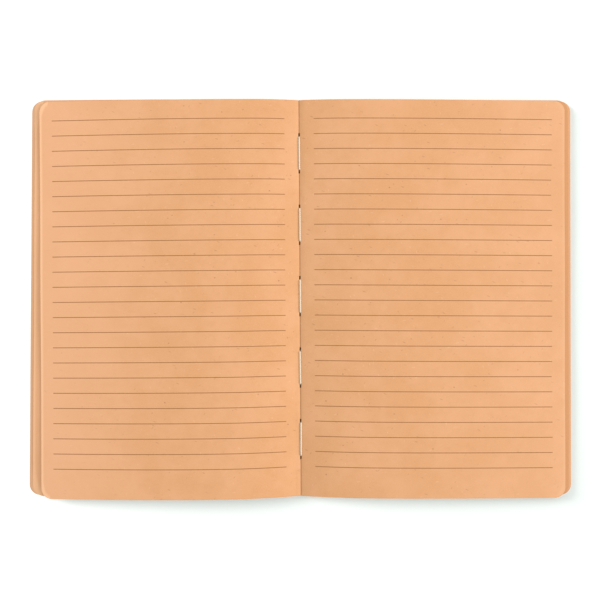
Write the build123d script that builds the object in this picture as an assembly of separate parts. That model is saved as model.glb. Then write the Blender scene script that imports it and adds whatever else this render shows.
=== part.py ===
from build123d import *
import math
import os

# A soft-cover notebook, sewn through the fold and lying open at its centre spread.
# X runs across the spread, Y up the page and Z up. The origin is on the surface that
# the notebook lies on, under the middle of the fold. Millimetres throughout.

# Driving dimensions
PAGE_WIDTH = 99.5         # innermost leaf, from the fold's centre to its fore-edge
PAGE_HEIGHT = 150.0
CORNER_RADIUS = 4.0       # the two outer corners of each leaf and cover
SHEET_COUNT = 20          # folded sheets, each two leaves
LEAF_THICKNESS = 0.11
LEAF_GAP = 0.01           # air between neighbouring leaves
COVER_THICKNESS = 0.30
COVER_OVERHANG = 0.35     # cover past the outermost leaf at the fore-edge
FOLD_HALF_WIDTH = 1.85    # from the fold's centre to where each crease ends
ROOT_GAP = 0.20           # between a crease and the leaf that springs from it
FOLD_PRESS = 0.9          # share of the fold's pitch that the pressed paper fills
RIDGE_TOP_HALF_WIDTH = 0.9    # flat top of the ridge that the cover makes over the outer stitches
RIDGE_FOOT_HALF_WIDTH = 1.5
THREAD_DIAMETER = 0.60
THREAD_CLEARANCE = 0.02   # between the thread and the paper it lies on
THREAD_BEND_RADIUS = 0.5
HOLE_CLEARANCE = 0.15     # round the thread in a sewing hole
STITCH_LENGTH = 13.55     # from one sewing hole to the next
INNER_STITCHES = 5
STITCH_CENTRE_Y = 0.7     # the sewing sits slightly towards the head of the page
THREAD_TAIL = 4.0
HINGE_RISE = 0.05         # fold axis above the top leaves

# Heights and widths that follow
LEAF_PITCH = LEAF_THICKNESS + LEAF_GAP
LEAF_CREEP = LEAF_PITCH * math.pi / 2
STACK_BASE = COVER_THICKNESS + LEAF_GAP
STACK_TOP = STACK_BASE + SHEET_COUNT * LEAF_PITCH - LEAF_GAP
COVER_WIDTH = PAGE_WIDTH + (SHEET_COUNT - 1) * LEAF_CREEP + COVER_OVERHANG
HINGE_HEIGHT = STACK_TOP + HINGE_RISE
INNER_THREAD_HEIGHT = STACK_TOP + THREAD_CLEARANCE + THREAD_DIAMETER / 2
OUTER_THREAD_HEIGHT = THREAD_CLEARANCE + THREAD_DIAMETER / 2
LEAF_ROOT = FOLD_HALF_WIDTH + ROOT_GAP
RIDGE_LIFT = THREAD_DIAMETER + 2 * THREAD_CLEARANCE
FOLD_BASE = RIDGE_LIFT + COVER_THICKNESS + LEAF_GAP
FOLD_PITCH = (STACK_TOP - FOLD_BASE) / SHEET_COUNT
HOLE_RADIUS = THREAD_DIAMETER / 2 + HOLE_CLEARANCE
HOLE_COUNT = 2 * INNER_STITCHES
HOLE_YS = [
    STITCH_CENTRE_Y + STITCH_LENGTH * ((HOLE_COUNT - 1) / 2 - number)
    for number in range(HOLE_COUNT)
]


def leaf_base(number):
    """Height of the underside of a leaf; leaf 1 is the innermost, on top of the stack."""
    return STACK_BASE + (SHEET_COUNT - number) * LEAF_PITCH


def leaf_width(number):
    """Distance from the fold's centre to a leaf's fore-edge; each outer sheet creeps in less."""
    return PAGE_WIDTH + (number - 1) * LEAF_CREEP


def leaf_solid(side, root, width, base, thickness):
    """A flat leaf or cover board on one side of the fold, +1 right or -1 left, with two rounded corners."""
    centre_x = side * (root + width) / 2
    with BuildPart() as leaf:
        with BuildSketch(Plane.XY.offset(base)):
            with Locations((centre_x, 0)):
                Rectangle(width - root, PAGE_HEIGHT)
            outer_corners = vertices().sort_by(Axis.X)
            fillet(outer_corners[-2:] if side > 0 else outer_corners[:2], CORNER_RADIUS)
        extrude(amount=thickness)
    return leaf.part


def fold_strip(base):
    """The crease of one folded sheet, a narrow strip between its two leaves."""
    on_base = (Align.CENTER, Align.CENTER, Align.MIN)
    strip = Box(2 * FOLD_HALF_WIDTH, PAGE_HEIGHT, FOLD_PITCH * FOLD_PRESS, align=on_base)
    return strip.moved(Location((0, 0, base)))


def sewing_holes():
    """Cutters for the row of holes down the fold."""
    cutter = Cylinder(HOLE_RADIUS, 2 * INNER_THREAD_HEIGHT)
    return [cutter.moved(Location((0, hole_y, 0))) for hole_y in HOLE_YS]


def sewn_folds():
    """The creases of all the sheets, nested one on another, with the sewing holes."""
    strips = [fold_strip(FOLD_BASE + level * FOLD_PITCH) for level in range(SHEET_COUNT)]
    return Compound(children=[strip - sewing_holes() for strip in strips])


def cover_spine():
    """The cover across the fold, raised in a low ridge over the outer stitches."""
    lower = [
        (-FOLD_HALF_WIDTH, 0),
        (-RIDGE_FOOT_HALF_WIDTH, 0),
        (-RIDGE_TOP_HALF_WIDTH, RIDGE_LIFT),
        (RIDGE_TOP_HALF_WIDTH, RIDGE_LIFT),
        (RIDGE_FOOT_HALF_WIDTH, 0),
        (FOLD_HALF_WIDTH, 0),
    ]
    upper = [(x, z + COVER_THICKNESS) for x, z in reversed(lower)]
    profile = Plane.XZ * make_face(Polyline(*lower, *upper, close=True))
    return extrude(profile, amount=PAGE_HEIGHT / 2, both=True) - sewing_holes()


def sewing_thread():
    """One continuous running stitch: long stitches inside and out by turns, with two tails."""
    route = [(HOLE_YS[0] + THREAD_TAIL, OUTER_THREAD_HEIGHT)]
    heights = [OUTER_THREAD_HEIGHT, INNER_THREAD_HEIGHT]
    for number, hole_y in enumerate(HOLE_YS):
        first, last = heights if number % 2 == 0 else reversed(heights)
        route += [(hole_y, first), (hole_y, last)]
    route.append((HOLE_YS[-1] - THREAD_TAIL, OUTER_THREAD_HEIGHT))
    path = FilletPolyline(*[(0, y, z) for y, z in route], radius=THREAD_BEND_RADIUS)
    section = Plane(origin=path @ 0, z_dir=path % 0) * Circle(THREAD_DIAMETER / 2)
    thread = sweep(section, path=path)
    swept = math.pi * THREAD_DIAMETER**2 / 4 * path.length
    print(f"thread length {path.length:.2f} mm, volume {thread.volume:.3f} of {swept:.3f} mm3")
    return thread


pieces = {
    "front_cover": leaf_solid(-1, LEAF_ROOT, COVER_WIDTH, 0, COVER_THICKNESS),
    "back_cover": leaf_solid(1, FOLD_HALF_WIDTH, COVER_WIDTH, 0, COVER_THICKNESS),
    "cover_spine": cover_spine(),
    "sewn_folds": sewn_folds(),
    "sewing_thread": sewing_thread(),
}
for side_name, side in (("left", -1), ("right", 1)):
    for number in range(1, SHEET_COUNT + 1):
        leaf = leaf_solid(side, LEAF_ROOT, leaf_width(number), leaf_base(number), LEAF_THICKNESS)
        pieces[f"{side_name}_leaf_{number:02d}"] = leaf

os.makedirs("parts", exist_ok=True)
for name, piece in pieces.items():
    piece.label = name
    export_step(piece, f"parts/{name}.step")

print(f"spread {2 * COVER_WIDTH:.2f} x {PAGE_HEIGHT:.2f} mm, {len(pieces)} nodes")
print(f"fold axis at z {HINGE_HEIGHT:.3f} mm, stack top {STACK_TOP:.3f} mm")
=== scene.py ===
import math
import random

import bpy
import numpy as np
from bpy.props import FloatProperty, FloatVectorProperty, IntProperty, PointerProperty
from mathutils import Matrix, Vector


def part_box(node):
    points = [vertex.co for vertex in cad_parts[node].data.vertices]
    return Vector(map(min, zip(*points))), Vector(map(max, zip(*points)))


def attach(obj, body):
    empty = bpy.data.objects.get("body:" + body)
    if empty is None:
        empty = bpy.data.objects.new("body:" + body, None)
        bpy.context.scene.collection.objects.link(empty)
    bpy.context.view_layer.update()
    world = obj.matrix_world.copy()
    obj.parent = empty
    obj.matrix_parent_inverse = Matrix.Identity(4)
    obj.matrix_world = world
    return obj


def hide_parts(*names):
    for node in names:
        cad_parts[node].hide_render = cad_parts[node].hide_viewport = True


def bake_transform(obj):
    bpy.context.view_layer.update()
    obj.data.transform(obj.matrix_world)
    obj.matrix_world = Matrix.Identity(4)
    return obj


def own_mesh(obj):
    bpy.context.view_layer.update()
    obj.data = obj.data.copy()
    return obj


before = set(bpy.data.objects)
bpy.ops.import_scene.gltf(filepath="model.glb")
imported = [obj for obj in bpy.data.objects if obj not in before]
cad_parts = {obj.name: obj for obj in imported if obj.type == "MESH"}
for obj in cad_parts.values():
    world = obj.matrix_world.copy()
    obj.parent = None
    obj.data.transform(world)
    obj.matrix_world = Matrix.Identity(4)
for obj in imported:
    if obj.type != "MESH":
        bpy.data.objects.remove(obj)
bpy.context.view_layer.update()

bl_info = {
    "name": "Sewn Kraft Notebook",
    "version": (1, 0, 0),
    "blender": (4, 5, 0),
    "location": "View3D > Sidebar > Notebook",
    "description": "Makes the cover, leaves, folds and thread of a sewn kraft-paper notebook",
    "category": "Object",
}

MM = 0.001

# Sizes that the frame gives
LEAF_COUNT = sum(name.startswith("left_leaf_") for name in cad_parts)
COVER_LOW, COVER_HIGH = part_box("back_cover")
RIDGE_LOW, RIDGE_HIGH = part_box("cover_spine")
FOLD_LOW, FOLD_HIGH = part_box("sewn_folds")
THREAD_LOW, THREAD_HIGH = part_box("sewing_thread")
TOP_LOW, TOP_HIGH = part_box("right_leaf_01")
HALF_HEIGHT = TOP_HIGH.y
LEAF_THICKNESS = TOP_HIGH.z - TOP_LOW.z
COVER_THICKNESS = COVER_HIGH.z - COVER_LOW.z
THREAD_DIAMETER = THREAD_HIGH.x - THREAD_LOW.x
RIDGE_LIFT = RIDGE_HIGH.z - RIDGE_LOW.z - COVER_THICKNESS
ROOT = TOP_LOW.x

# Shape of the folded paper
CREASE_SHARPNESS = 0.6    # below 1, the crease is a sharp groove; above 1, a round one
CREASE_ROUNDING = 1.3     # how much rounder the outermost crease is than the innermost
CREASE_FILL = 0.85        # share of the room between two creases that the paper takes up
CREASE_SETBACK = 0.05 * MM    # keeps a crease just below the roots of its leaves
CREASE_START = 0.1 * MM   # gap between the two top leaves at the fold, halved
HOLE_HALF_WIDTH = 0.30 * MM
CORNER_STEPS = 8
LEAF_CROWDING = 1.6       # above 1, the grid columns of a leaf crowd towards the fold
CREASE_CROWDING = 1.5
TOP_COLUMNS, CREASE_COLUMNS = 56, 9
LOWER_COLUMNS, LOWER_ROWS = 30, 14
FOLD_COLUMNS = 7
FOLD_ROW_LENGTH = 4 * MM

# Shape of the cover
COVER_WRAP = 1.35         # width of its bend, as a share of the paper's
COVER_BEND_COLUMNS, COVER_COLUMNS, COVER_ROWS, COVER_CORNER_STEPS = 14, 40, 40, 10
COVER_PULL = 0.9 * MM     # how far its upper left corner lies drawn in

# Shape of the thread
STRAND_SHARE = 1 / 4.3    # radius of a strand, as a share of the thread's diameter
STRAND_SIDES = 8
THREAD_STEP = 0.22 * MM
THREAD_REST = 0.55        # height of its middle above the crease, as a share of its diameter
THREAD_SWAY = 0.14 * MM   # how far it strays to either side at a hole
BEND_STEPS = 7

# How the open leaves lie
SKEW_EASE = 20 * MM       # distance from the fold over which the skew sets in
SKEW_ACROSS = 0.6         # share of the skew that moves points sideways
LOOSE_SKEW = 0.0006       # most that a lower leaf is turned by chance
LIFT_POWER = 1.6          # how fast the edge lift fades from foot to head
REACH_JITTER = 0.07 * MM
RIPPLE_TURNS, RIPPLE_SLANT = 2.1, 3.0
# Top bundle's turn as a slope and, for the whole side, its share of the arch and how late it falls
TOP_LIE = {"left": (0.0092, 1.0, 2.2), "right": (-0.0045, 0.72, 2.0)}
# The sheets cling in bundles, which show as steps at the fore-edge. For each bundle: its last leaf;
# shares of arch and of edge lift, each at its first and last leaf; the strength of painted shade on
# its paper, which stands in for the shadow of the leaves above; and how far past the frame's top
# leaf it reaches at the head and foot, in millimetres
BUNDLES = (
    (5, (1.00, 0.90), (1.00, 0.75), 0.0, {"left": (-1.3, -1.45), "right": (0.4, 1.0)}),
    (13, (0.70, 0.45), (0.45, 0.20), 1.0, {"left": (1.1, 1.8), "right": (2.2, 2.5)}),
    (LEAF_COUNT, (0.28, 0.04), (0.10, 0.0), 0.35, {"left": (2.6, 3.6), "right": (3.5, 3.8)}),
)
TOP_BUNDLE = BUNDLES[0][0]

# Marks on a page, painted light and shade and print, in millimetres from the fold or from the
# page's rim
FORE_EDGE_LIGHT_FROM = 45.0               # where painted light starts to make the page paler towards the fore-edge
RIM_HIGHLIGHT = (0.35, 1.25, 0.62, 0.0)    # painted highlight along the rim: where it is full, where it is gone, strengths
PAINTED_CREASE_SHADE = (0.02, 0.42, 0.38, 0.0)    # painted shade in the crease, likewise
FAINT_INK = (0.25, 0.60, 0.74, 0.98)    # from and to which grain the ink grows stronger, strengths
LINE_END_BLUR = 0.15
BUMP_STRENGTH = 0.5
# Dark parts of a cut edge, of the thread and of the floor, as shares of their full colour
EDGE_SHADE, THREAD_SHADE, FLOOR_SHADE = 0.86, 0.72, 0.985
# Strength of the painted light towards the fore-edge, of the painted rim highlight and of the
# painted shade on lower leaves, on left-hand and on right-hand pages
FORE_EDGE_LIGHT_SHARES, RIM_HIGHLIGHT_SHARES, PAINTED_SHADE_SHARES = (0.60, 0.24), (1.0, 0.22), (0.25, 0.85)

# Mottling of the paper: scale, detail and roughness of its noise, then from and to which value of
# the noise it sets in, and its strength
CLOUDS = (0.06, 3.0, 0.60, 0.36, 0.66, 0.30)
PATCHES = (0.35, 4.0, 0.65, 0.45, 0.72, 0.22)
GRAIN = (2.6, 3.0, 0.70, 0.40, 0.70, 0.30)
# Fibres in the paper: way they lie, length and width of their cells in millimetres, rarity, name of
# their colour, strength
FIBRES = (
    (0.35, 3.4, 1.00, 0.90, "fibre", 0.34),
    (-0.95, 2.6, 0.90, 0.92, "fibre", 0.30),
    (1.30, 2.4, 1.05, 0.90, "edge", 0.24),
    (-0.20, 3.6, 1.10, 0.93, "edge", 0.24),
    (0.00, 1.60, 1.40, 0.955, "fibre", 0.62),
)

SIDES = (("left", -1), ("right", 1))
BODIES = {"left": "front_half", "right": "back_half"}
TOP_BODIES = {"left": "left_top_leaf", "right": "right_top_leaf"}


# ---------------------------------------------------------------- settings

def length_setting(name, description, millimetres):
    return FloatProperty(
        name=name, description=description, default=millimetres * MM, unit="LENGTH", precision=5
    )


def colour_setting(name, description, colour):
    return FloatVectorProperty(
        name=name, description=description, default=colour, subtype="COLOR", size=3, min=0, max=1
    )


class NOTEBOOK_PG_paper(bpy.types.PropertyGroup):
    """Size and lie of the leaves and cover."""

    corner_radius: length_setting("Corner radius", "Radius of the rounded outer corners", 4.0)
    arch: length_setting("Page arch", "How far the open pages swell above the flat stack", 3.0)
    foot_swell: FloatProperty(
        name="Foot swell",
        description="Extra share of arch at the foot, and lack of it at the head",
        default=0.29,
    )
    arch_rise: length_setting("Arch rise", "Distance over which a page rises from the fold", 16.0)
    edge_lift: length_setting(
        "Edge lift", "How far the top leaves stand off at the foot of the fore-edge", 0.3
    )
    wave: length_setting("Wave", "Height of the slow ripples in a top leaf", 0.10)
    fold_depth: length_setting("Crease depth", "How far the innermost crease sinks", 0.55)
    lean: length_setting("Fold lean", "How far the fold leans sideways at its ends", 0.43)
    wrap: length_setting("Fold wrap", "Half the width of paper that wraps round when shut", 2.2)


class NOTEBOOK_PG_print(bpy.types.PropertyGroup):
    """The printed lines."""

    lines: IntProperty(name="Lines", description="Printed lines on each page", default=24, min=1)
    pitch: length_setting("Line pitch", "Distance from one line to the next", 5.715)
    head_margin: length_setting("Head margin", "Top of the page to the first line", 7.25)
    fold_margin: length_setting("Fold margin", "Fold to the start of the lines", 5.5)
    line_length: length_setting("Line length", "Length of each line", 89.0)
    right_shift: length_setting(
        "Right shift", "How much higher the lines stand on right-hand pages", 0.12
    )
    line_width: length_setting("Line width", "Thickness of each line", 0.30)


class NOTEBOOK_PG_sewing(bpy.types.PropertyGroup):
    """The thread and its holes."""

    stitch: length_setting("Stitch length", "Distance from one hole to the next", 13.55)
    tail: length_setting("Tail", "Loose end of thread past the last hole", 4.0)
    hole: length_setting("Hole length", "Length of each torn sewing hole", 1.8)
    entry: length_setting("Entry", "How far inside each hole's middle the thread goes down", 0.6)
    bend: length_setting("Bend", "Radius at which the thread turns into a hole", 0.5)
    plies: IntProperty(
        name="Plies", description="Strands twisted into the thread", default=3, min=2
    )
    twist: length_setting("Twist", "Length of one full turn of the strands", 2.4)


class NOTEBOOK_PG_finish(bpy.types.PropertyGroup):
    """Colours of the paper, card, print and thread."""

    paper: colour_setting("Paper", "Kraft paper", (0.430, 0.212, 0.096))
    # Also the colour of the painted light towards the fore-edge
    paper_pale: colour_setting("Pale paper", "Paler mottling and fibres", (0.520, 0.276, 0.156))
    # Also the colour of the painted shade on the lower leaves
    paper_deep: colour_setting("Deep paper", "Darker mottling", (0.375, 0.176, 0.074))
    # Also the colour of the painted shade along the crease
    fibre: colour_setting("Fibre", "Dark fibres and specks", (0.200, 0.088, 0.036))
    # Also the colour of the painted highlight along the leaves' rims
    edge: colour_setting("Cut edge", "Freshly cut edge of the paper", (0.590, 0.345, 0.205))
    ink: colour_setting("Ink", "Brown ink of the lines", (0.200, 0.084, 0.030))
    card: colour_setting("Card", "Kraft card of the cover", (0.360, 0.166, 0.074))
    thread: colour_setting("Thread", "Undyed thread", (0.60, 0.50, 0.39))


class NOTEBOOK_PG_studio(bpy.types.PropertyGroup):
    """Floor, lights and camera."""

    distance: length_setting("Camera height", "Camera above the top of the pages", 200.0)
    view_width: length_setting("View width", "Width seen at the top of the pages", 224.4)
    aim: length_setting("Aim", "Middle of the view, below the middle of the page", 0.75)
    floor: colour_setting("Floor", "Plain pale floor", (0.90, 0.905, 0.90))


# ---------------------------------------------------------------- node helpers

class Shader:
    """A material's node tree, with short ways to add and join nodes."""

    def __init__(self, name):
        self.material = bpy.data.materials.new(name)
        self.material.use_nodes = True
        self.tree = self.material.node_tree
        self.surface = self.tree.nodes["Principled BSDF"]

    def add(self, kind, inputs=(), **settings):
        made = self.tree.nodes.new(kind)
        for key, value in settings.items():
            setattr(made, key, value)
        for key, value in dict(inputs).items():
            self.join(value, made.inputs[key])
        return made

    def join(self, value, socket):
        if isinstance(value, bpy.types.NodeSocket):
            self.tree.links.new(value, socket)
        else:
            socket.default_value = value

    def maths(self, operation, *values):
        made = self.tree.nodes.new("ShaderNodeMath")
        made.operation = operation
        for socket, value in zip(made.inputs, values):
            self.join(value, socket)
        return made.outputs[0]

    def ramp(self, value, low, high, start=0.0, end=1.0):
        """Runs smoothly from start to end as value goes from low to high."""
        inputs = {"Value": value, "From Min": low, "From Max": high, "To Min": start, "To Max": end}
        made = self.add("ShaderNodeMapRange", inputs, interpolation_type="SMOOTHSTEP")
        return made.outputs[0]

    def by_side(self, place, left, right):
        """One value on left-hand pages and another on right-hand ones."""
        return self.ramp(place[0], -1.0, 1.0, left, right)

    def mix(self, factor, first, second):
        made = self.add("ShaderNodeMix", data_type="RGBA")
        self.join(factor, made.inputs["Factor"])
        sockets = (socket for socket in made.inputs if socket.type == "RGBA")
        for socket, value in zip(sockets, (first, second)):
            linked = isinstance(value, bpy.types.NodeSocket)
            self.join(value if linked else (*value, 1.0), socket)
        return made.outputs[2]

    def noise(self, vector, scale, detail=2.0, roughness=0.5):
        inputs = {"Vector": vector, "Scale": scale, "Detail": detail, "Roughness": roughness}
        return self.add("ShaderNodeTexNoise", inputs).outputs["Fac"]

    def page_place(self):
        """Page coordinates in millimetres: signed distance from the fold, distance from head."""
        flat = self.add("ShaderNodeUVMap", uv_map="page").outputs[0]
        return flat, self.add("ShaderNodeSeparateXYZ", {0: flat}).outputs

    def shifted(self, vector):
        """The same coordinates moved along by a different step for each piece of paper."""
        step = self.add("ShaderNodeObjectInfo").outputs["Random"]
        offset = self.add("ShaderNodeCombineXYZ", {"Z": self.maths("MULTIPLY", step, 400.0)})
        return self.add("ShaderNodeVectorMath", {0: vector, 1: offset.outputs[0]}).outputs[0]

    def strands(self, vector, turn, length, width, rarity):
        """Short straight fibres that all lie one way, as a mask."""
        inputs = {"Vector": vector, "Rotation": (0, 0, turn), "Scale": (length, width, 1)}
        laid = self.add("ShaderNodeMapping", inputs, vector_type="TEXTURE")
        cells = self.add("ShaderNodeTexVoronoi", {"Vector": laid.outputs[0], "Scale": 1.0})
        near = self.ramp(cells.outputs["Distance"], 0.10, 0.26, 1.0, 0.0)
        shade = self.add("ShaderNodeSeparateColor", {0: cells.outputs["Color"]}).outputs[0]
        return self.maths("MULTIPLY", near, self.ramp(shade, rarity, rarity + 0.05))

    def bump(self, height, distance):
        inputs = {"Height": height, "Distance": distance, "Strength": BUMP_STRENGTH}
        self.join(self.add("ShaderNodeBump", inputs).outputs[0], self.surface.inputs["Normal"])


def printed_lines(shader, place):
    """Mask of the ruled lines, from page coordinates."""
    print_ = bpy.context.scene.notebook_print
    pitch = print_.pitch / MM
    half_width = print_.line_width / MM / 2
    start = print_.fold_margin / MM
    end = start + print_.line_length / MM
    along = shader.maths("ABSOLUTE", place[0])
    margin = print_.head_margin / MM
    head = shader.by_side(place, margin, margin - print_.right_shift / MM)
    rows = shader.maths("DIVIDE", shader.maths("SUBTRACT", place[1], head), pitch)
    row = shader.maths("ROUND", rows)
    part = shader.maths("ABSOLUTE", shader.maths("SUBTRACT", rows, row))
    away = shader.maths("MULTIPLY", part, pitch)
    mask = shader.ramp(away, half_width * 0.5, half_width * 1.5, 1.0, 0.0)
    limits = (
        shader.maths("GREATER_THAN", row, -0.5),
        shader.maths("LESS_THAN", row, print_.lines - 0.5),
        shader.ramp(along, start - LINE_END_BLUR, start + LINE_END_BLUR),
        shader.ramp(along, end, end + 2 * LINE_END_BLUR, 1, 0),
    )
    for limit in limits:
        mask = shader.maths("MULTIPLY", mask, limit)
    return mask


def kraft_colour(shader, base, pale, deep):
    """Mottled brown paper with dark and light fibres; also gives the fine grain."""
    finish = bpy.context.scene.notebook_finish
    flat, place = shader.page_place()
    here = shader.shifted(flat)
    colour = base
    for mottling, shade in ((CLOUDS, pale), (PATCHES, deep), (GRAIN, pale)):
        scale, detail, roughness, low, high, strength = mottling
        grain = shader.noise(here, scale, detail, roughness)
        colour = shader.mix(shader.ramp(grain, low, high, 0.0, strength), colour, shade)
    for turn, length, width, rarity, shade, strength in FIBRES:
        fibres = shader.strands(here, turn, length, width, rarity)
        fibres = shader.maths("MULTIPLY", fibres, strength)
        colour = shader.mix(fibres, colour, getattr(finish, shade))
    return colour, grain, place


def paper_material(name, ruled):
    """Uncoated kraft paper, ruled or plain, with painted light that makes it paler towards the
    fore-edge and painted shade in its crease.
    """
    finish = bpy.context.scene.notebook_finish
    shader = Shader(name)
    colour, grain, place = kraft_colour(shader, finish.paper, finish.paper_pale, finish.paper_deep)
    along = shader.maths("ABSOLUTE", place[0])
    # Painted light: the page grows paler towards its fore-edge, more on left-hand pages
    fore_edge_light = shader.ramp(along, FORE_EDGE_LIGHT_FROM, TOP_HIGH.x / MM)
    fore_edge_light = shader.maths("MULTIPLY", fore_edge_light, shader.by_side(place, *FORE_EDGE_LIGHT_SHARES))
    colour = shader.mix(fore_edge_light, colour, finish.paper_pale)
    if ruled:
        rim = shader.add("ShaderNodeUVMap", uv_map="rim").outputs[0]
        inside, painted_shade, _ = shader.add("ShaderNodeSeparateXYZ", {0: rim}).outputs
        # Painted highlight: a pale band along each leaf's rim, where light catches the edge,
        # strongest on left-hand pages
        rim_highlight = shader.ramp(inside, *RIM_HIGHLIGHT)
        rim_highlight = shader.maths("MULTIPLY", rim_highlight, shader.by_side(place, *RIM_HIGHLIGHT_SHARES))
        colour = shader.mix(rim_highlight, colour, finish.edge)
        # Painted shade: lower leaves darkened towards deep paper, standing in for the shadow of the
        # leaves above, more on right-hand pages
        painted_shade = shader.maths("MULTIPLY", painted_shade, shader.by_side(place, *PAINTED_SHADE_SHARES))
        colour = shader.mix(painted_shade, colour, finish.paper_deep)
        lines = printed_lines(shader, place)
        faint = shader.ramp(grain, *FAINT_INK)
        colour = shader.mix(shader.maths("MULTIPLY", lines, faint), colour, finish.ink)
    # Painted shade: the page darkens towards the fibre colour along the crease, where shade falls
    crease_shade = shader.ramp(along, *PAINTED_CREASE_SHADE)
    colour = shader.mix(crease_shade, colour, finish.fibre)
    shader.join(colour, shader.surface.inputs["Base Color"])
    shader.join(shader.ramp(grain, 0.3, 0.7, 0.80, 0.92), shader.surface.inputs["Roughness"])
    shader.surface.inputs["Specular IOR Level"].default_value = 0.25
    shader.bump(grain, 0.00004)
    return shader.material


def edge_material(name, colour):
    """The cut edge of paper or card, pale and slightly fuzzy."""
    shader = Shader(name)
    flat, _ = shader.page_place()
    fuzz = shader.noise(flat, 3.0, 2.0)
    darker = tuple(EDGE_SHADE * channel for channel in colour)
    shader.join(shader.mix(fuzz, darker, colour), shader.surface.inputs["Base Color"])
    shader.surface.inputs["Roughness"].default_value = 0.9
    shader.bump(fuzz, 0.00003)
    return shader.material


def card_material(name):
    """Kraft card of the cover, denser and darker than the pages."""
    finish = bpy.context.scene.notebook_finish
    shader = Shader(name)
    colour, grain, _ = kraft_colour(shader, finish.card, finish.paper, finish.paper_deep)
    shader.join(colour, shader.surface.inputs["Base Color"])
    shader.surface.inputs["Roughness"].default_value = 0.78
    shader.surface.inputs["Specular IOR Level"].default_value = 0.3
    shader.bump(grain, 0.00006)
    return shader.material


def thread_material(name):
    """Undyed twisted thread with a soft sheen."""
    finish = bpy.context.scene.notebook_finish
    shader = Shader(name)
    place = shader.add("ShaderNodeTexCoord").outputs["Object"]
    fuzz = shader.noise(place, 4000.0, 3.0)
    shade = tuple(THREAD_SHADE * channel for channel in finish.thread)
    shader.join(shader.mix(fuzz, shade, finish.thread), shader.surface.inputs["Base Color"])
    shader.surface.inputs["Roughness"].default_value = 0.62
    shader.surface.inputs["Sheen Weight"].default_value = 0.35
    shader.bump(fuzz, 0.00005)
    return shader.material


def floor_material(name):
    """Plain pale floor with a very faint grain."""
    shader = Shader(name)
    pale = tuple(bpy.context.scene.notebook_studio.floor)
    place = shader.add("ShaderNodeTexCoord").outputs["Object"]
    cloud = shader.noise(place, 60.0, 2.0)
    dim = tuple(FLOOR_SHADE * channel for channel in pale)
    shader.join(shader.mix(cloud, dim, pale), shader.surface.inputs["Base Color"])
    shader.surface.inputs["Roughness"].default_value = 0.9
    return shader.material


# ---------------------------------------------------------------- mesh helpers

def spread(low, high, count, crowd=1.0):
    """Numbers from low to high; a crowd above 1 packs them towards low."""
    return [low + (high - low) * (step / count) ** crowd for step in range(count + 1)]


def corner_columns(width, radius, steps):
    """Distances from the fold that divide a rounded corner into equal turns."""
    turns = [math.pi / 2 * step / steps for step in range(1, steps + 1)]
    return [width - radius + radius * math.sin(turn) for turn in turns]


def half_height_at(distance, width, radius):
    """Half the height of a leaf at a distance from the fold, less in the rounded corners."""
    into = distance - (width - radius)
    if into <= 0:
        return HALF_HEIGHT
    return HALF_HEIGHT - radius + math.sqrt(max(radius * radius - into * into, 0.0))


def rim_distance(distance, up, width, radius):
    """How far a point of a leaf lies inside its fore-edge and rounded corners."""
    into = distance - (width - radius)
    beyond = abs(up) - (HALF_HEIGHT - radius)
    if into > 0 and beyond > 0:
        return radius - math.hypot(into, beyond)
    return width - distance


def grid_faces(columns, rows, skip=()):
    """Four-sided faces between neighbouring grid points, numbered row by row in each column."""
    return [
        (c * rows + r, (c + 1) * rows + r, (c + 1) * rows + r + 1, c * rows + r + 1)
        for c in range(columns - 1)
        for r in range(rows - 1)
        if (c, r) not in skip
    ]


def sharpen_rim(mesh):
    """Marks the open edges of a sheet as sharp, so that its cut edge has a crisp outline."""
    uses = {}
    for face in mesh.polygons:
        for key in face.edge_keys:
            uses[key] = uses.get(key, 0) + 1
    for edge in mesh.edges:
        edge.use_edge_sharp = uses[edge.key] == 1


def add_map(mesh, name, values):
    """A UV map that holds two values for each vertex."""
    layer = mesh.uv_layers.new(name=name)
    for loop in mesh.loops:
        layer.data[loop.index].uv = values[loop.vertex_index]


def make_piece(name, points, faces, flat, materials, thickness=0.0, rims=()):
    """A smooth mesh with page coordinates in millimetres, given its thickness by Solidify."""
    mesh = bpy.data.meshes.new(name)
    mesh.from_pydata(points, [], faces)
    add_map(mesh, "page", [(across / MM, (HALF_HEIGHT - up) / MM) for across, up in flat])
    if rims:
        # The rim map holds each point's distance inside the rim and the strength of its painted
        # shade
        add_map(mesh, "rim", [(rim / MM, painted_shade) for rim, painted_shade in rims])
    mesh.shade_smooth()
    sharpen_rim(mesh)
    for material in materials:
        mesh.materials.append(material)
    piece = bpy.data.objects.new(name, mesh)
    bpy.context.scene.collection.objects.link(piece)
    if thickness:
        solid = piece.modifiers.new("Thickness", "SOLIDIFY")
        solid.thickness = thickness
        solid.offset = 0.0
        solid.use_even_offset = False
        solid.material_offset_rim = len(materials) - 1
    return piece


def material_named(name, maker, *values):
    """The material of that name, made the first time it is asked for."""
    return bpy.data.materials.get(name) or maker(name, *values)


def leant(up, share=0.0):
    """Sideways shift from the lean of the fold, which fades towards the fore-edge."""
    return -bpy.context.scene.notebook_paper.lean * up / HALF_HEIGHT * (1 - share)


def page_materials(ruled=True):
    finish = bpy.context.scene.notebook_finish
    name = "ruled_paper" if ruled else "plain_paper"
    return [
        material_named(name, paper_material, ruled),
        material_named("paper_edge", edge_material, tuple(finish.edge)),
    ]


# ---------------------------------------------------------------- leaves

def leaf_lie(side_name, side, number):
    """How one leaf lies: shares of arch and edge lift, strength of painted shade, reach at head and
    foot.
    """
    first = 1
    for last, arches, lifts, painted_shade, reaches in BUNDLES:
        if number <= last:
            break
        first = last + 1
    depth = (number - first) / (last - first)
    arch, lift = (top + (low - top) * depth for top, low in (arches, lifts))
    jitter = random.Random(100 * number + side).uniform(-1, 1) * REACH_JITTER
    head, foot = (TOP_HIGH.x + value * MM + jitter for value in reaches[side_name])
    return arch, lift, painted_shade, head, foot


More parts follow.
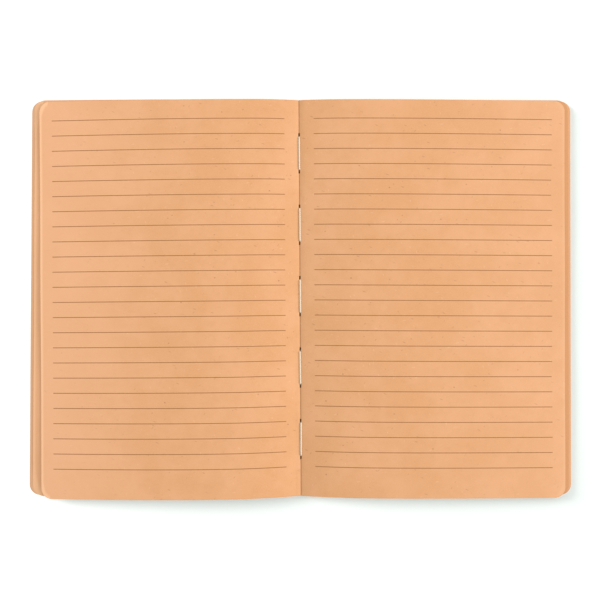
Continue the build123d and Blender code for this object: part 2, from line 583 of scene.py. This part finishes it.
def leaf_mesh(side_name, side, number, columns, rows):
    """One leaf, arched up from the fold and stepped, skewed and rippled a little."""
    paper = bpy.context.scene.notebook_paper
    node = f"{side_name}_leaf_{number:02d}"
    low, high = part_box(node)
    level = (low.z + high.z) / 2
    width = high.x if side > 0 else -low.x
    arch_share, lift_share, painted_shade, head, foot = leaf_lie(side_name, side, number)
    draw = random.Random(7 * number + 31 * side)
    phase = draw.uniform(0, 2 * math.pi)
    skew, side_arch, fall = TOP_LIE[side_name]
    if number > TOP_BUNDLE:
        skew = draw.uniform(-LOOSE_SKEW, LOOSE_SKEW)
    crease_drop = paper.fold_depth + level - FOLD_HIGH.z
    distances = spread(ROOT, width - paper.corner_radius, columns, LEAF_CROWDING)
    if number == 1:
        distances = spread(CREASE_START, ROOT, CREASE_COLUMNS, CREASE_CROWDING)[:-1] + distances
    distances += corner_columns(width, paper.corner_radius, CORNER_STEPS)
    points, flat, rims = [], [], []
    for distance in distances:
        share = distance / width
        run = distance - ROOT
        rise = 1 - math.exp(-max(run, 0) / paper.arch_rise)
        arch = paper.arch * side_arch * arch_share * rise * (1 - share**fall)
        sink = crease_drop * (1 - (distance / ROOT) ** CREASE_SHARPNESS) if run < 0 else 0
        half = half_height_at(distance, width, paper.corner_radius)
        turn = skew * min(max(run, 0) / SKEW_EASE, 1.0)
        for row in rows:
            place = row / HALF_HEIGHT
            up = half * place
            up_share = up / HALF_HEIGHT
            mean = 0.5 + up_share / 2
            out = distance + (foot + (head - foot) * mean - width) * share**2
            lift = paper.edge_lift * lift_share * share**2 * (1 - mean) ** LIFT_POWER
            swell = arch * (1 - paper.foot_swell * up_share)
            turned = RIPPLE_TURNS * math.pi * up_share + RIPPLE_SLANT * share + phase
            ripple = math.sin(turned)
            wave = paper.wave * arch_share * ripple * share * share
            across = side * out - up * turn * SKEW_ACROSS + leant(up, share)
            points.append((across, up + side * out * turn, level + swell + lift - sink + wave))
            flat.append((side * distance, up))
            rims.append((rim_distance(distance, up, width, paper.corner_radius), painted_shade))
    faces = grid_faces(len(distances), len(rows), pierced_cells(distances, rows))
    if side < 0:
        faces = [face[::-1] for face in faces]
    piece = make_piece(f"{node}_sheet", points, faces, flat, page_materials(), LEAF_THICKNESS, rims)
    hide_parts(node)
    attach(piece, TOP_BODIES[side_name] if number == 1 else BODIES[side_name])
    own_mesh(piece)


class NOTEBOOK_OT_top_leaves(bpy.types.Operator):
    """Make the two ruled leaves of the open spread"""

    bl_idname = "notebook.top_leaves"
    bl_label = "Top leaves"

    def execute(self, context):
        for side_name, side in SIDES:
            leaf_mesh(side_name, side, 1, TOP_COLUMNS, fold_rows())
        return {"FINISHED"}


class NOTEBOOK_OT_lower_leaves(bpy.types.Operator):
    """Make the leaves under the open spread, stepped at the fore-edge"""

    bl_idname = "notebook.lower_leaves"
    bl_label = "Lower leaves"

    def execute(self, context):
        rows = spread(-HALF_HEIGHT, HALF_HEIGHT, LOWER_ROWS)
        for side_name, side in SIDES:
            for number in range(2, LEAF_COUNT + 1):
                leaf_mesh(side_name, side, number, LOWER_COLUMNS, rows)
        return {"FINISHED"}


# ---------------------------------------------------------------- folds and cover

def hole_heights():
    """Distances up the page of the sewing holes, from the thread's upper tail downwards."""
    sewing = bpy.context.scene.notebook_sewing
    first = THREAD_HIGH.y - sewing.tail
    last = THREAD_LOW.y + sewing.tail
    count = round((first - last) / sewing.stitch) + 1
    return [first + (last - first) * number / (count - 1) for number in range(count)]


def pierced_cells(across, rows):
    """Grid cells that the sewing holes take away, next to the fold."""
    hole = bpy.context.scene.notebook_sewing.hole
    pierced_rows = [
        r
        for r, (low, high) in enumerate(zip(rows, rows[1:]))
        if any(abs((low + high) / 2 - y) < hole / 2 for y in hole_heights())
    ]
    return {
        (c, r)
        for c, (near, far) in enumerate(zip(across, across[1:]))
        for r in pierced_rows
        if abs(near + far) < 2 * HOLE_HALF_WIDTH
    }


def fold_rows():
    """Heights of the grid rows down the fold, with a row at each end of every hole."""
    hole = bpy.context.scene.notebook_sewing.hole
    ends = sorted(y + sign * hole / 2 for y in hole_heights() for sign in (-1, 1))
    rows = [-HALF_HEIGHT]
    for end in ends + [HALF_HEIGHT]:
        start = rows[-1]
        rows += spread(start, end, max(1, round((end - start) / FOLD_ROW_LENGTH)))[1:]
    return rows


def mirrored(right):
    """Grid columns for both sides of the fold, from those of the right side."""
    return [-x for x in reversed(right[1:])] + right


class NOTEBOOK_OT_folds(bpy.types.Operator):
    """Make the nested creases of the sheets, pierced by the sewing holes"""

    bl_idname = "notebook.folds"
    bl_label = "Folded creases"

    def execute(self, context):
        paper = context.scene.notebook_paper
        rows = fold_rows()
        across = mirrored([0.0] + spread(HOLE_HALF_WIDTH, paper.wrap, FOLD_COLUMNS))
        one_crease = grid_faces(len(across), len(rows), pierced_cells(across, rows))
        crease_top = FOLD_HIGH.z - paper.fold_depth
        crease_pitch = (crease_top - FOLD_LOW.z) / LEAF_COUNT
        points, faces, flat = [], [], []
        for number in range(1, LEAF_COUNT + 1):
            low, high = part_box(f"right_leaf_{number:02d}")
            level = (low.z + high.z) / 2 - CREASE_SETBACK
            crease = crease_top - (number - 0.5) * crease_pitch
            roundness = CREASE_SHARPNESS + CREASE_ROUNDING * (number - 1) / (LEAF_COUNT - 1)
            start = len(points)
            faces += [tuple(start + corner for corner in face) for face in one_crease]
            for x in across:
                height = crease + (level - crease) * (abs(x) / paper.wrap) ** roundness
                points += [(x + leant(y), y, height) for y in rows]
                flat += [(x, y) for y in rows]
        thickness = crease_pitch * CREASE_FILL
        folds = make_piece("creased_folds", points, faces, flat, page_materials(False), thickness)
        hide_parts("sewn_folds")
        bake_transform(folds)
        return {"FINISHED"}


class NOTEBOOK_OT_cover(bpy.types.Operator):
    """Make the one-piece card cover, with its low ridge over the outer stitches"""

    bl_idname = "notebook.cover"
    bl_label = "Card cover"

    def execute(self, context):
        paper = context.scene.notebook_paper
        finish = context.scene.notebook_finish
        width = COVER_HIGH.x
        ridge = RIDGE_HIGH.x
        wrap = COVER_WRAP * paper.wrap
        right = spread(0, wrap, COVER_BEND_COLUMNS)
        right += spread(wrap, width - paper.corner_radius, COVER_COLUMNS)[1:]
        right += corner_columns(width, paper.corner_radius, COVER_CORNER_STEPS)
        across = mirrored(right)
        points, flat = [], []
        for x in across:
            distance = abs(x)
            half = half_height_at(distance, width, paper.corner_radius)
            bulge = 0.5 + 0.5 * math.cos(math.pi * min(distance / ridge, 1.0))
            share = distance / width
            height = COVER_THICKNESS / 2 + RIDGE_LIFT * bulge
            for step in range(COVER_ROWS + 1):
                up = half * (2 * step / COVER_ROWS - 1)
                pull = COVER_PULL * (0.5 + up / (2 * HALF_HEIGHT)) * share**2 if x < 0 else 0
                points.append((x + pull + leant(up, share), up, height))
                flat.append((x, up))
        materials = [
            material_named("kraft_card", card_material),
            material_named("card_edge", edge_material, tuple(finish.paper_pale)),
        ]
        faces = grid_faces(len(across), COVER_ROWS + 1)
        cover = make_piece("card_cover", points, faces, flat, materials, COVER_THICKNESS)
        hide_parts("front_cover", "back_cover", "cover_spine")
        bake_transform(cover)
        return {"FINISHED"}


# ---------------------------------------------------------------- thread

def rounded_route(corners, radius, step):
    """Points a step apart along straight runs joined by arcs, each with the way it faces."""
    places = []
    ends = [corners[0]]
    turns = np.linspace(0, math.pi / 2, BEND_STEPS)[:-1]
    for before, corner, after in zip(corners, corners[1:], corners[2:]):
        coming = (corner - before) / np.linalg.norm(corner - before)
        going = (after - corner) / np.linalg.norm(after - corner)
        start, end = corner - coming * radius, corner + going * radius
        places += straight(ends[-1], start, step)
        centre = start + going * radius
        for turn in turns:
            sideways, onwards = going * math.cos(turn), coming * math.sin(turn)
            places.append(centre - radius * sideways + radius * onwards)
        ends.append(end)
    return places + straight(ends[-1], corners[-1], step) + [corners[-1]]


def straight(start, end, step):
    """Points from start towards end, without the end itself."""
    count = max(1, round(np.linalg.norm(end - start) / step))
    return [start + (end - start) * number / count for number in range(count)]


class NOTEBOOK_OT_thread(bpy.types.Operator):
    """Make the sewing thread of twisted strands, in and out of the holes"""

    bl_idname = "notebook.thread"
    bl_label = "Sewing thread"

    def execute(self, context):
        paper = context.scene.notebook_paper
        sewing = context.scene.notebook_sewing
        outer = THREAD_LOW.z + THREAD_DIAMETER / 2
        inner = FOLD_HIGH.z - paper.fold_depth + THREAD_REST * THREAD_DIAMETER
        holes = hole_heights()
        draw = random.Random(5)
        sway = [draw.uniform(-THREAD_SWAY, THREAD_SWAY) for _ in holes]
        route = [np.array((leant(THREAD_HIGH.y), THREAD_HIGH.y, outer))]
        for number, y in enumerate(holes):
            going_in = number % 2 == 0
            levels = (outer, inner) if going_in else (inner, outer)
            entry = y - sewing.entry if going_in else y + sewing.entry
            route += [np.array((sway[number] + leant(entry), entry, level)) for level in levels]
        route.append(np.array((leant(THREAD_LOW.y), THREAD_LOW.y, outer)))
        places = rounded_route(route, sewing.bend, THREAD_STEP)
        strand_radius = THREAD_DIAMETER * STRAND_SHARE
        off_centre = THREAD_DIAMETER / 2 - strand_radius
        sides, rings = STRAND_SIDES, len(places)
        points, faces, flat = [], [], []
        side_way = np.array((1.0, 0.0, 0.0))
        for ply in range(sewing.plies):
            start = len(points)
            travelled = 0.0
            for index, place in enumerate(places):
                ahead = places[min(index + 1, rings - 1)]
                behind = places[max(index - 1, 0)]
                facing = (ahead - behind) / np.linalg.norm(ahead - behind)
                travelled += np.linalg.norm(place - behind)
                upright = np.cross(facing, side_way)
                turn = 2 * math.pi * (travelled / sewing.twist + ply / sewing.plies)
                centre = place + off_centre * (side_way * math.cos(turn) + upright * math.sin(turn))
                for corner in range(sides):
                    angle = 2 * math.pi * corner / sides
                    rim = side_way * math.cos(angle) + upright * math.sin(angle)
                    points.append(tuple(centre + strand_radius * rim))
                    flat.append((float(place[0]), float(place[1])))
            for ring in range(rings - 1):
                for corner in range(sides):
                    following = (corner + 1) % sides
                    near, far = start + ring * sides, start + (ring + 1) * sides
                    faces.append((near + corner, far + corner, far + following, near + following))
            cap = range(start, start + sides)
            faces.append(tuple(cap))
            faces.append(tuple((rings - 1) * sides + corner for corner in reversed(cap)))
        materials = [material_named("twisted_thread", thread_material)]
        thread = make_piece("twisted_thread", points, faces, flat, materials)
        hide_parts("sewing_thread")
        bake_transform(thread)
        return {"FINISHED"}


# ---------------------------------------------------------------- stage

FLOOR_REACH = 3.0
FLOOR_GAP = 0.02 * MM     # keeps the floor just clear of the cover
PAGE_TOP = TOP_HIGH.z + 2.4 * MM
SENSOR_WIDTH = 36.0
ROOM_COLOUR, ROOM_STRENGTH = (0.93, 1.0, 0.97, 1.0), 0.95
# Softboxes that spare the floor and those that light nothing else: name, place, size, power, colour
LIGHTS = {
    "EXCLUDE": (
        ("low_right_softbox", (1.90, 0.12, 0.68), 0.90, 63.0, (1.0, 0.96, 0.93)),
        ("high_left_softbox", (-0.45, 0.50, 1.00), 0.50, 8.5, (1.0, 0.98, 0.96)),
    ),
    "INCLUDE": (
        ("floor_softbox", (-1.55, 0.62, 0.62), 0.80, 35.0, (1.0, 0.97, 0.98)),
    ),
}


def softbox(name, place, size, power, colour):
    """A square soft light that faces the notebook."""
    light = bpy.data.lights.new(name, "AREA")
    light.size = size
    light.energy = power
    light.color = colour
    lamp = bpy.data.objects.new(name, light)
    lamp.location = place
    lamp.rotation_euler = (-lamp.location).to_track_quat("-Z", "Y").to_euler()
    lamp.visible_camera = False
    bpy.context.scene.collection.objects.link(lamp)
    return lamp


class NOTEBOOK_OT_stage(bpy.types.Operator):
    """Make the pale floor, the soft lights and the camera above the spread"""

    bl_idname = "notebook.stage"
    bl_label = "Studio"

    def execute(self, context):
        studio = context.scene.notebook_studio
        context.scene.view_settings.view_transform = "Standard"
        mesh = bpy.data.meshes.new("pale_floor")
        ways = ((-1, -1), (1, -1), (1, 1), (-1, 1))
        corners = [(x * FLOOR_REACH, y * FLOOR_REACH, 0) for x, y in ways]
        mesh.from_pydata(corners, [], [(0, 1, 2, 3)])
        mesh.materials.append(material_named("pale_floor", floor_material))
        floor = bpy.data.objects.new("pale_floor", mesh)
        floor.location.z = -FLOOR_GAP
        context.scene.collection.objects.link(floor)

        for state in ("EXCLUDE", "INCLUDE"):
            receivers = bpy.data.collections.new(f"floor_{state.lower()}d")
            receivers.objects.link(floor)
            receivers.collection_objects[0].light_linking.link_state = state
            for light in LIGHTS[state]:
                softbox(*light).light_linking.receiver_collection = receivers
        world = bpy.data.worlds.new("soft_room")
        world.use_nodes = True
        background = world.node_tree.nodes["Background"]
        background.inputs["Color"].default_value = ROOM_COLOUR
        background.inputs["Strength"].default_value = ROOM_STRENGTH
        context.scene.world = world

        lens = bpy.data.cameras.new("overhead_camera")
        lens.sensor_width = SENSOR_WIDTH
        lens.lens = lens.sensor_width * studio.distance / studio.view_width
        lens.clip_start = 0.01
        camera = bpy.data.objects.new("overhead_camera", lens)
        camera.location = (0.0, -studio.aim, PAGE_TOP + studio.distance)
        context.scene.collection.objects.link(camera)
        context.scene.camera = camera
        return {"FINISHED"}


# ---------------------------------------------------------------- add-on

SETTINGS = {
    "notebook_paper": NOTEBOOK_PG_paper,
    "notebook_print": NOTEBOOK_PG_print,
    "notebook_sewing": NOTEBOOK_PG_sewing,
    "notebook_finish": NOTEBOOK_PG_finish,
    "notebook_studio": NOTEBOOK_PG_studio,
}
OPERATORS = (
    NOTEBOOK_OT_stage,
    NOTEBOOK_OT_cover,
    NOTEBOOK_OT_lower_leaves,
    NOTEBOOK_OT_top_leaves,
    NOTEBOOK_OT_folds,
    NOTEBOOK_OT_thread,
)


class NOTEBOOK_PT_panel(bpy.types.Panel):
    """Lists the notebook's pieces and settings."""

    bl_label = "Sewn Kraft Notebook"
    bl_idname = "NOTEBOOK_PT_panel"
    bl_space_type = "VIEW_3D"
    bl_region_type = "UI"
    bl_category = "Notebook"

    def draw(self, context):
        for operator in OPERATORS:
            self.layout.operator(operator.bl_idname)
        for name, group in SETTINGS.items():
            box = self.layout.box()
            box.label(text=group.__doc__)
            for setting in group.__annotations__:
                box.prop(getattr(context.scene, name), setting)


def register():
    for group in (*SETTINGS.values(), *OPERATORS, NOTEBOOK_PT_panel):
        bpy.utils.register_class(group)
    for name, group in SETTINGS.items():
        setattr(bpy.types.Scene, name, PointerProperty(type=group))


def unregister():
    for name in SETTINGS:
        delattr(bpy.types.Scene, name)
    for group in reversed((*SETTINGS.values(), *OPERATORS, NOTEBOOK_PT_panel)):
        bpy.utils.unregister_class(group)


def main():
    register()
    bpy.ops.notebook.stage()
    bpy.ops.notebook.cover()
    bpy.ops.notebook.lower_leaves()
    bpy.ops.notebook.top_leaves()
    bpy.ops.notebook.folds()
    bpy.ops.notebook.thread()


if __name__ == "__main__":
    main()
